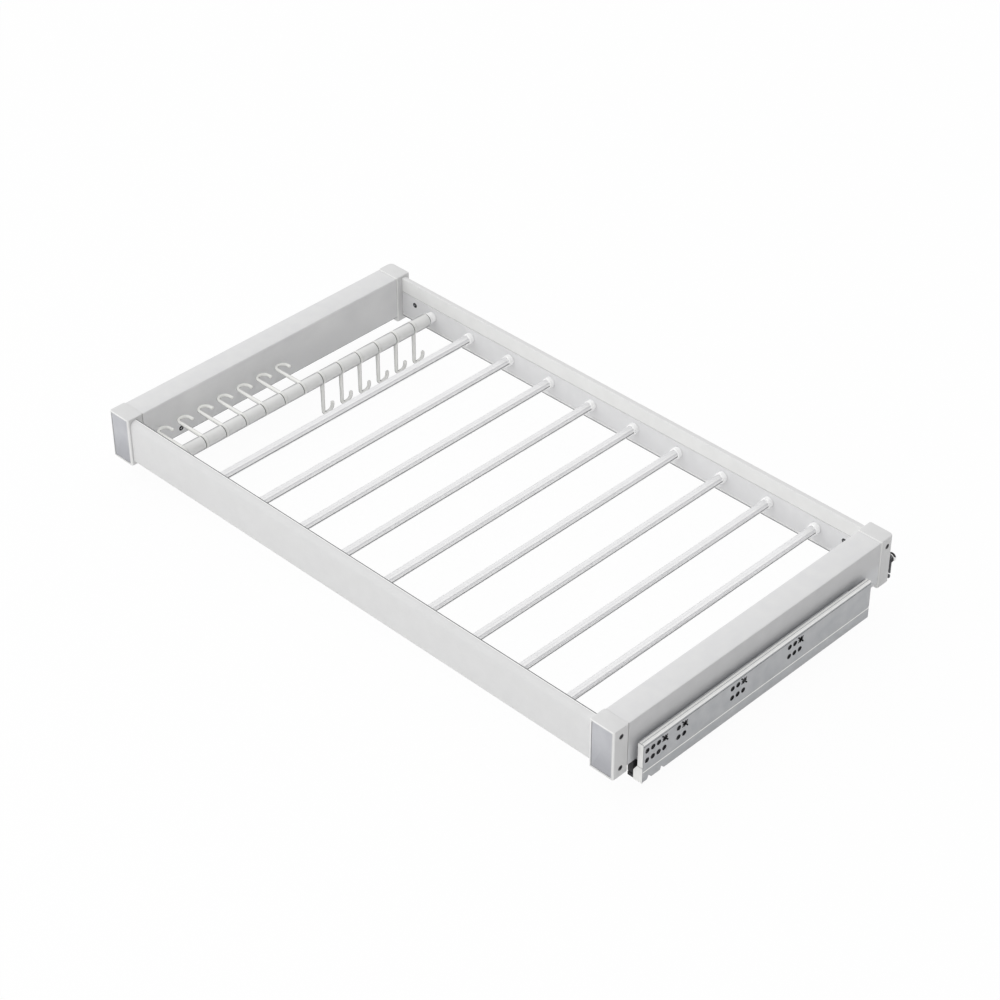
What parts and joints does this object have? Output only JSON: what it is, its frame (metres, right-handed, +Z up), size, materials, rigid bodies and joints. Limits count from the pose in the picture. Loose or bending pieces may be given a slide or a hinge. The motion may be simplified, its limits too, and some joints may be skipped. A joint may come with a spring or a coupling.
{
  "type": "pull out trouser rack",
  "caption": "Pull-out wardrobe rack: a shallow rectangular frame with trouser bars across it and a row of small hooks on a tube, running on side slides.",
  "frame": {"origin": "midway between the cabinet's side walls and midway between the frame's front and back, level with the undersides of the corner blocks", "axes": "+X to the right across the wardrobe, +Y to the back of the wardrobe, +Z up; the rack pulls out towards -Y"},
  "size_m": [0.89, 0.4993, 0.0967],
  "materials": {
    "block": "die-cast, satin light grey",
    "beam": "satin anodised",
    "plate": "brushed",
    "bar": "satin",
    "tube": "satin",
    "sleeve": "matt light grey",
    "hook": "matt off-white",
    "zinc": "zinc plated",
    "black": "matt black",
    "cage": "matt black"
  },
  "bodies": {
    "cabinet_sides": {"slide_cabinet_member_left": "zinc", "slide_cabinet_member_right": "zinc"},
    "rack": {"corner_block_front_left": "block", "corner_block_front_right": "block", "corner_block_back_left": "block", "corner_block_back_right": "block", "front_plate_left": "plate", "front_plate_right": "plate", "side_beam_left": "beam", "side_beam_right": "beam", "front_rail": "beam", "back_rail": "beam", "trouser_bar_1": "bar", "trouser_bar_2": "bar", "trouser_bar_3": "bar", "trouser_bar_4": "bar", "trouser_bar_5": "bar", "trouser_bar_6": "bar", "trouser_bar_7": "bar", "trouser_bar_8": "bar", "trouser_bar_9": "bar", "hook_tube": "tube", "spacer_sleeve_01": "sleeve", "spacer_sleeve_02": "sleeve", "spacer_sleeve_03": "sleeve", "spacer_sleeve_04": "sleeve", "spacer_sleeve_05": "sleeve", "spacer_sleeve_06": "sleeve", "spacer_sleeve_07": "sleeve", "spacer_sleeve_08": "sleeve", "spacer_sleeve_09": "sleeve", "spacer_sleeve_10": "sleeve", "spacer_sleeve_11": "sleeve", "spacer_sleeve_12": "sleeve", "spacer_sleeve_13": "sleeve", "slide_frame_member_left": "zinc", "slide_frame_member_right": "zinc", "front_catch_left": "black", "front_catch_right": "black", "rear_bracket_left": "black", "rear_bracket_right": "black"},
    "middle_member_left": {"slide_middle_member_left": "zinc"},
    "outer_cage_left": {"ball_cage_outer_left": "cage"},
    "inner_cage_left": {"ball_cage_inner_left": "cage"},
    "middle_member_right": {"slide_middle_member_right": "zinc"},
    "outer_cage_right": {"ball_cage_outer_right": "cage"},
    "inner_cage_right": {"ball_cage_inner_right": "cage"},
    "hook_01": {"ring_hook_01": "hook"},
    "hook_02": {"ring_hook_02": "hook"},
    "hook_03": {"ring_hook_03": "hook"},
    "hook_04": {"ring_hook_04": "hook"},
    "hook_05": {"ring_hook_05": "hook"},
    "hook_06": {"ring_hook_06": "hook"},
    "hook_07": {"ring_hook_07": "hook"},
    "hook_08": {"ring_hook_08": "hook"},
    "hook_09": {"ring_hook_09": "hook"},
    "hook_10": {"ring_hook_10": "hook"},
    "hook_11": {"ring_hook_11": "hook"},
    "hook_12": {"ring_hook_12": "hook"},
    "hook_13": {"ring_hook_13": "hook"}
  },
  "joints": [
    {"name": "rack_slide", "type": "slide", "parent": "cabinet_sides", "child": "rack", "axis": [0, -1, 0], "range_m": [0, 0.39]},
    {"name": "middle_slide_left", "type": "slide", "parent": "cabinet_sides", "child": "middle_member_left", "axis": [0, -1, 0], "range_m": [0, 0.195]},
    {"name": "outer_cage_slide_left", "type": "slide", "parent": "cabinet_sides", "child": "outer_cage_left", "axis": [0, -1, 0], "range_m": [0, 0.0975]},
    {"name": "inner_cage_slide_left", "type": "slide", "parent": "cabinet_sides", "child": "inner_cage_left", "axis": [0, -1, 0], "range_m": [0, 0.2925]},
    {"name": "middle_slide_right", "type": "slide", "parent": "cabinet_sides", "child": "middle_member_right", "axis": [0, -1, 0], "range_m": [0, 0.195]},
    {"name": "outer_cage_slide_right", "type": "slide", "parent": "cabinet_sides", "child": "outer_cage_right", "axis": [0, -1, 0], "range_m": [0, 0.0975]},
    {"name": "inner_cage_slide_right", "type": "slide", "parent": "cabinet_sides", "child": "inner_cage_right", "axis": [0, -1, 0], "range_m": [0, 0.2925]},
    {"name": "hook_turn_01", "type": "hinge", "parent": "rack", "child": "hook_01", "pos_m": [-0.3375, -0.2064, 0.031], "axis": [0, 1, 0], "continuous": true},
    {"name": "hook_turn_02", "type": "hinge", "parent": "rack", "child": "hook_02", "pos_m": [-0.3375, -0.1732, 0.031], "axis": [0, 1, 0], "continuous": true},
    {"name": "hook_turn_03", "type": "hinge", "parent": "rack", "child": "hook_03", "pos_m": [-0.3375, -0.14, 0.031], "axis": [0, 1, 0], "continuous": true},
    {"name": "hook_turn_04", "type": "hinge", "parent": "rack", "child": "hook_04", "pos_m": [-0.3375, -0.1068, 0.031], "axis": [0, 1, 0], "continuous": true},
    {"name": "hook_turn_05", "type": "hinge", "parent": "rack", "child": "hook_05", "pos_m": [-0.3375, -0.0736, 0.031], "axis": [0, 1, 0], "continuous": true},
    {"name": "hook_turn_06", "type": "hinge", "parent": "rack", "child": "hook_06", "pos_m": [-0.3375, -0.0404, 0.031], "axis": [0, 1, 0], "continuous": true},
    {"name": "hook_turn_07", "type": "hinge", "parent": "rack", "child": "hook_07", "pos_m": [-0.3375, -0.0072, 0.031], "axis": [0, 1, 0], "continuous": true},
    {"name": "hook_turn_08", "type": "hinge", "parent": "rack", "child": "hook_08", "pos_m": [-0.3375, 0.026, 0.031], "axis": [0, 1, 0], "continuous": true},
    {"name": "hook_turn_09", "type": "hinge", "parent": "rack", "child": "hook_09", "pos_m": [-0.3375, 0.0592, 0.031], "axis": [0, 1, 0], "continuous": true},
    {"name": "hook_turn_10", "type": "hinge", "parent": "rack", "child": "hook_10", "pos_m": [-0.3375, 0.0924, 0.031], "axis": [0, 1, 0], "continuous": true},
    {"name": "hook_turn_11", "type": "hinge", "parent": "rack", "child": "hook_11", "pos_m": [-0.3375, 0.1256, 0.031], "axis": [0, 1, 0], "continuous": true},
    {"name": "hook_turn_12", "type": "hinge", "parent": "rack", "child": "hook_12", "pos_m": [-0.3375, 0.1588, 0.031], "axis": [0, 1, 0], "continuous": true},
    {"name": "hook_turn_13", "type": "hinge", "parent": "rack", "child": "hook_13", "pos_m": [-0.3375, 0.192, 0.031], "axis": [0, 1, 0], "continuous": true}
  ],
  "couplings": [
    {"joint": "middle_slide_left", "follows": "rack_slide", "ratio": 0.5},
    {"joint": "outer_cage_slide_left", "follows": "rack_slide", "ratio": 0.25},
    {"joint": "inner_cage_slide_left", "follows": "rack_slide", "ratio": 0.75},
    {"joint": "middle_slide_right", "follows": "rack_slide", "ratio": 0.5},
    {"joint": "outer_cage_slide_right", "follows": "rack_slide", "ratio": 0.25},
    {"joint": "inner_cage_slide_right", "follows": "rack_slide", "ratio": 0.75}
  ]
}
